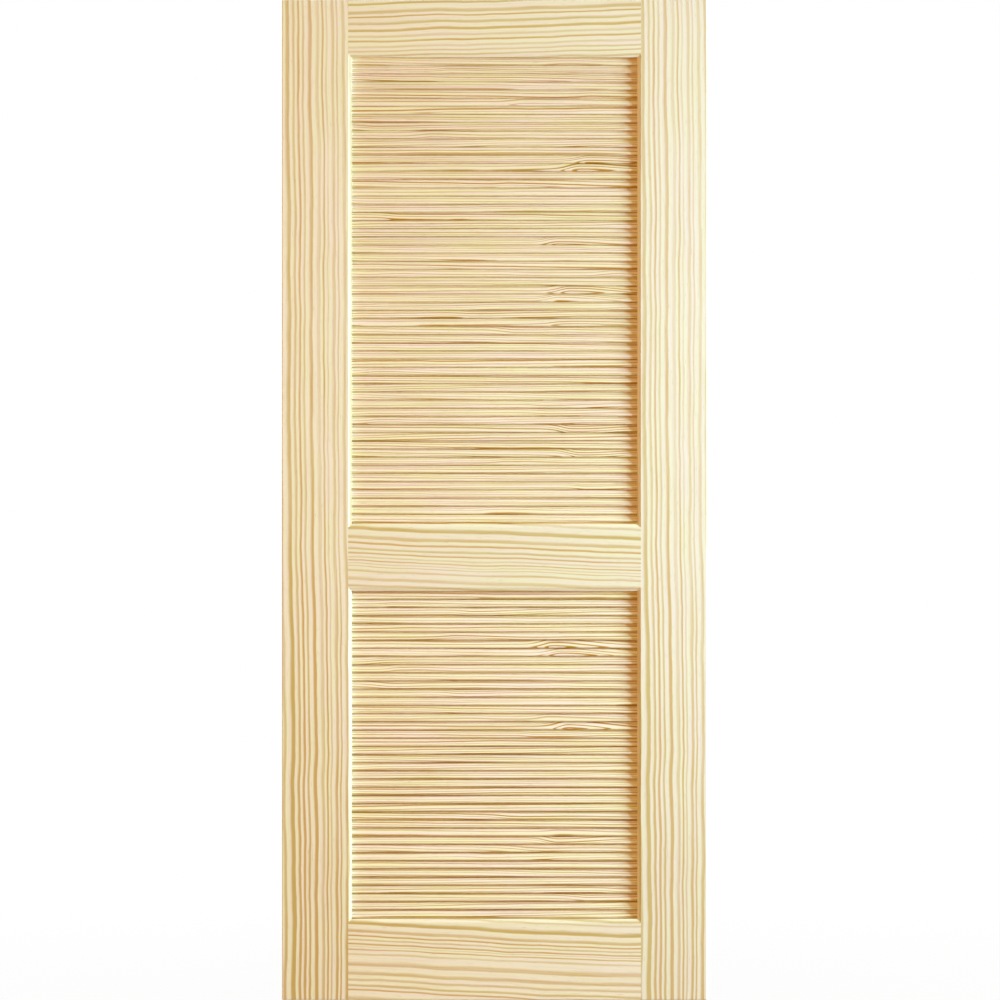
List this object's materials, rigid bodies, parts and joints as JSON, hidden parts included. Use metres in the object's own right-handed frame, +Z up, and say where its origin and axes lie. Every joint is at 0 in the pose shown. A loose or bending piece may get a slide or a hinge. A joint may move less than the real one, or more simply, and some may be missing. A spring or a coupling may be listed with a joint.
{
  "type": "louvered interior door",
  "caption": "Tall pine interior door slab with fixed sloping louver slats between stiles and rails, closing a closet or doorway while letting air pass.",
  "frame": {"origin": "centre of the slab's bottom edge, midway across the width and the thickness", "axes": "+Z up along the stiles, +X across the width to the right as seen from the front, front face towards -Y"},
  "size_m": [0.8636, 0.0348, 2.032],
  "materials": {
    "pine_frame": "sanded, unfinished",
    "pine_slat": "sanded, unfinished",
    "hardwood_dowel": "turned and fluted, glued in"
  },
  "bodies": {
    "root": {"bottom_rail": "pine_frame", "bottom_rail_dowels": "hardwood_dowel", "left_stile": "pine_frame", "lock_rail": "pine_frame", "lock_rail_dowels": "hardwood_dowel", "lower_sill_slat": "pine_slat", "lower_slats_01_02": "pine_slat", "lower_slats_03_04": "pine_slat", "lower_slats_05_06": "pine_slat", "lower_slats_07_08": "pine_slat", "lower_slats_09_10": "pine_slat", "lower_slats_11_12": "pine_slat", "lower_slats_13_14": "pine_slat", "lower_slats_15_16": "pine_slat", "lower_slats_17_18": "pine_slat", "lower_slats_19_20": "pine_slat", "lower_slats_21_22": "pine_slat", "lower_slats_23_24": "pine_slat", "lower_slats_25_26": "pine_slat", "lower_slats_27_28": "pine_slat", "lower_slats_29_30": "pine_slat", "lower_slats_31_32": "pine_slat", "lower_slats_33_34": "pine_slat", "lower_slats_35_36": "pine_slat", "lower_slats_37_38": "pine_slat", "lower_slats_39_40": "pine_slat", "right_stile": "pine_frame", "top_rail": "pine_frame", "top_rail_dowels": "hardwood_dowel", "upper_sill_slat": "pine_slat", "upper_slats_01_02": "pine_slat", "upper_slats_03_04": "pine_slat", "upper_slats_05_06": "pine_slat", "upper_slats_07_08": "pine_slat", "upper_slats_09_10": "pine_slat", "upper_slats_11_12": "pine_slat", "upper_slats_13_14": "pine_slat", "upper_slats_15_16": "pine_slat", "upper_slats_17_18": "pine_slat", "upper_slats_19_20": "pine_slat", "upper_slats_21_22": "pine_slat", "upper_slats_23_24": "pine_slat", "upper_slats_25_26": "pine_slat", "upper_slats_27_28": "pine_slat", "upper_slats_29_30": "pine_slat", "upper_slats_31_32": "pine_slat", "upper_slats_33_34": "pine_slat", "upper_slats_35_36": "pine_slat", "upper_slats_37_38": "pine_slat", "upper_slats_39_40": "pine_slat", "upper_slats_41_42": "pine_slat", "upper_slats_43_44": "pine_slat", "upper_slats_45_46": "pine_slat", "upper_slats_47_48": "pine_slat", "upper_slats_49_50": "pine_slat", "upper_slats_51_52": "pine_slat", "upper_slats_53_54": "pine_slat", "upper_slats_55_56": "pine_slat", "upper_slats_57": "pine_slat"}
  },
  "joints": []
}
